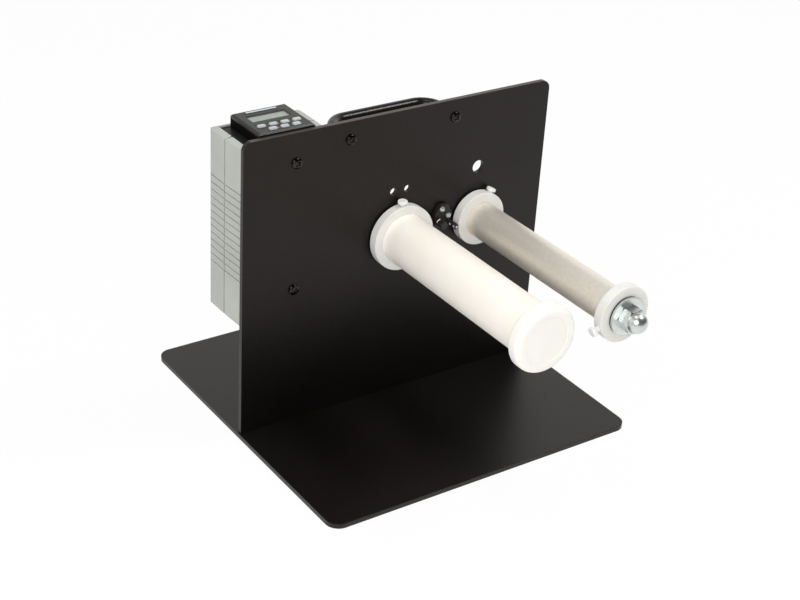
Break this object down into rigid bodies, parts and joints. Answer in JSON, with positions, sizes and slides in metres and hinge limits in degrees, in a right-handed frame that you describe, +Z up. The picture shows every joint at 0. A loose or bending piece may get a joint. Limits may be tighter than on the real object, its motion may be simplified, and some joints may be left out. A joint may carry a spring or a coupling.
{
  "type": "label counting station",
  "caption": "Black sheet-metal stand with a driven white rewind spool, a free supply spindle with collars, a fork label sensor, a rear case with a panel counter and a carry handle.",
  "frame": {"origin": "centre of the base plate's underside, on the table", "axes": "+X to the right as seen from the front, +Y to the rear (the spindles point to -Y), +Z up"},
  "size_m": [0.2304, 0.2875, 0.2094],
  "materials": {
    "powder_coat": "satin black powder coat",
    "case_grey": "fine matte texture",
    "panel_black": "matte",
    "counter_black": "satin",
    "display": "reflective liquid crystal panel",
    "display_window": "clear",
    "key_grey": "satin",
    "circuit_board": "solder mask",
    "board_parts": "moulded",
    "socket_black": "matte",
    "handle_black": "gloss black paint",
    "black_screw": "blackened",
    "zinc": "bright zinc plate",
    "steel": "turned",
    "cast_aluminium": "turned",
    "bronze": "sintered bronze",
    "motor_shell": "drawn steel",
    "motor_cap_white": "matte",
    "spool_white": "satin warm white",
    "collar_white": "satin",
    "nylon": "satin",
    "tube_metal": "satin",
    "friction_black": "matte",
    "sensor_black": "satin",
    "lens_grey": "gloss"
  },
  "bodies": {
    "stand": {"base_plate": "powder_coat", "upright_plate": "powder_coat", "case_front_half": "case_grey", "case_rear_half": "case_grey", "case_top_panel": "panel_black", "case_bottom_panel": "panel_black", "case_screws": "black_screw", "case_mount_screws": "black_screw", "counter_housing": "counter_black", "counter_face": "counter_black", "counter_board": "circuit_board", "counter_clip": "panel_black", "lcd_glass": "display", "lcd_window": "display_window", "control_board": "circuit_board", "board_components": "board_parts", "power_inlet": "socket_black", "inlet_nut": "zinc", "switch_body": "socket_black", "carry_handle": "handle_black", "handle_screws": "black_screw", "bearing_housing": "cast_aluminium", "housing_screws": "zinc", "shaft_bushes": "bronze", "gearbox_case": "motor_shell", "motor_can": "motor_shell", "motor_cap": "motor_cap_white", "motor_set_screws": "steel", "idle_axle": "steel", "axle_nuts": "zinc", "axle_washers": "zinc", "friction_washer": "friction_black", "flat_washer": "zinc", "acorn_nut": "zinc", "sensor_body": "sensor_black", "sensor_lenses": "lens_grey", "sensor_screws": "zinc"},
    "rewind_spool": {"drive_shaft": "steel", "spool_tube": "spool_white", "spool_hub": "spool_white", "hub_set_screw": "steel", "spool_flange": "spool_white"},
    "spool_stop": {"spool_collar": "collar_white"},
    "spool_stop_screw": {"spool_collar_screw": "nylon"},
    "supply_spindle": {"idle_tube": "tube_metal", "tube_bushes": "spool_white"},
    "inner_stop": {"inner_collar": "collar_white"},
    "inner_stop_screw": {"inner_collar_screw": "nylon"},
    "outer_stop": {"outer_collar": "collar_white"},
    "outer_stop_screw": {"outer_collar_screw": "nylon"},
    "rocker": {"switch_rocker": "socket_black"},
    "button_1": {"key_1": "key_grey"},
    "button_2": {"key_2": "key_grey"},
    "button_3": {"key_3": "key_grey"},
    "button_4": {"key_4": "key_grey"},
    "button_5": {"key_5": "key_grey"},
    "button_6": {"key_6": "key_grey"},
    "button_7": {"key_7": "key_grey"}
  },
  "joints": [
    {"name": "rewind_turn", "type": "hinge", "parent": "stand", "child": "rewind_spool", "pos_m": [0, 0, 0.1205], "axis": [0, 1, 0], "continuous": true},
    {"name": "spool_stop_slide", "type": "slide", "parent": "rewind_spool", "child": "spool_stop", "axis": [0, -1, 0], "range_m": [0, 0.13]},
    {"name": "spool_stop_screw_turn", "type": "hinge", "parent": "spool_stop", "child": "spool_stop_screw", "pos_m": [-0.00077, -0.00585, 0.14249], "axis": [-0.0349, 0, 0.9994], "continuous": true},
    {"name": "supply_turn", "type": "hinge", "parent": "stand", "child": "supply_spindle", "pos_m": [0.06075, 0, 0.1205], "axis": [0, 1, 0], "continuous": true},
    {"name": "inner_stop_slide", "type": "slide", "parent": "supply_spindle", "child": "inner_stop", "axis": [0, -1, 0], "range_m": [0, 0.065]},
    {"name": "inner_stop_screw_turn", "type": "hinge", "parent": "inner_stop", "child": "inner_stop_screw", "pos_m": [0.06864, -0.00605, 0.13668], "axis": [0.4384, 0, 0.8988], "continuous": true},
    {"name": "outer_stop_slide", "type": "slide", "parent": "supply_spindle", "child": "outer_stop", "axis": [0, 1, 0], "range_m": [0, 0.065]},
    {"name": "outer_stop_screw_turn", "type": "hinge", "parent": "outer_stop", "child": "outer_stop_screw", "pos_m": [0.04389, -0.15095, 0.1142], "axis": [-0.9367, 0, -0.3502], "continuous": true},
    {"name": "power_rock", "type": "hinge", "parent": "stand", "child": "rocker", "pos_m": [-0.0737, 0.02135, 0.0856], "axis": [0, 1, 0], "range_deg": [-16, 0]},
    {"name": "key_1_press", "type": "slide", "parent": "stand", "child": "button_1", "axis": [0, 0, -1], "range_m": [0, 0.0006], "stiffness_N_per_m": 400},
    {"name": "key_2_press", "type": "slide", "parent": "stand", "child": "button_2", "axis": [0, 0, -1], "range_m": [0, 0.0006], "stiffness_N_per_m": 400},
    {"name": "key_3_press", "type": "slide", "parent": "stand", "child": "button_3", "axis": [0, 0, -1], "range_m": [0, 0.0006], "stiffness_N_per_m": 400},
    {"name": "key_4_press", "type": "slide", "parent": "stand", "child": "button_4", "axis": [0, 0, -1], "range_m": [0, 0.0006], "stiffness_N_per_m": 400},
    {"name": "key_5_press", "type": "slide", "parent": "stand", "child": "button_5", "axis": [0, 0, -1], "range_m": [0, 0.0006], "stiffness_N_per_m": 400},
    {"name": "key_6_press", "type": "slide", "parent": "stand", "child": "button_6", "axis": [0, 0, -1], "range_m": [0, 0.0006], "stiffness_N_per_m": 400},
    {"name": "key_7_press", "type": "slide", "parent": "stand", "child": "button_7", "axis": [0, 0, -1], "range_m": [0, 0.0006], "stiffness_N_per_m": 400}
  ]
}
